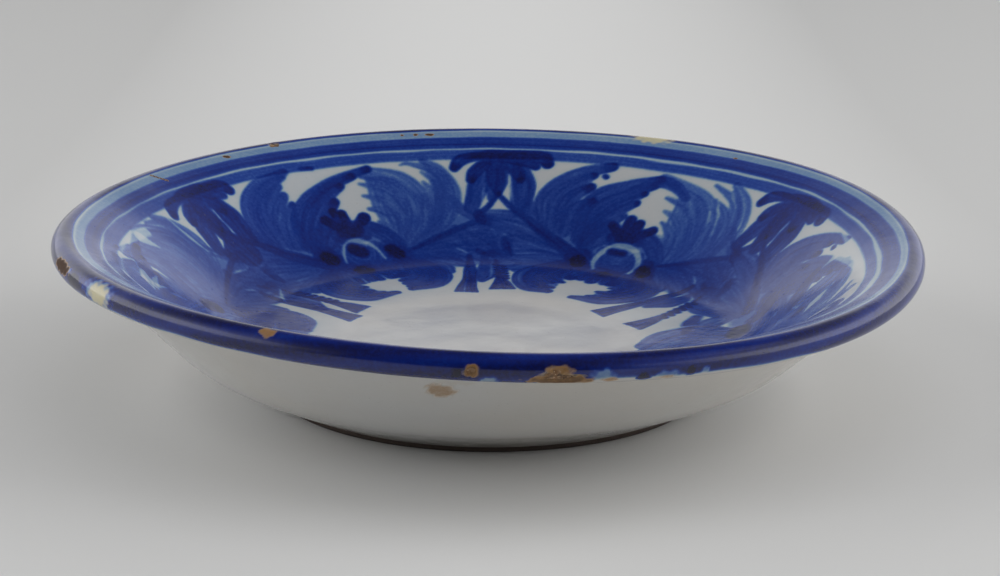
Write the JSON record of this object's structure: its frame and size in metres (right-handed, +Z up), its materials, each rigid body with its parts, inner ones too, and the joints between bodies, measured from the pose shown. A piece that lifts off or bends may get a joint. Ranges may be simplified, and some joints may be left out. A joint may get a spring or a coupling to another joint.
{
  "type": "soup plate",
  "caption": "Round soup plate with a broad well, sloping wall, narrow everted rim and low foot ring, tin-glazed and painted in blue.",
  "frame": {"origin": "centre of the foot ring, on the surface that the plate stands on", "axes": "+Z up along the turning axis; +Y away from the viewer of the picture, +X to its right"},
  "size_m": [0.22, 0.22, 0.0431],
  "materials": {
    "biscuit_clay": "matt fired buff clay, bare on the foot ring and in the chips",
    "painted_glaze": "glossy opaque white tin glaze, hand-painted in cobalt blue on the inside and the lip",
    "plain_glaze": "glossy opaque white tin glaze"
  },
  "bodies": {
    "root": {"clay_body": "biscuit_clay", "tin_glaze": "painted_glaze", "base_glaze": "plain_glaze"}
  },
  "joints": []
}
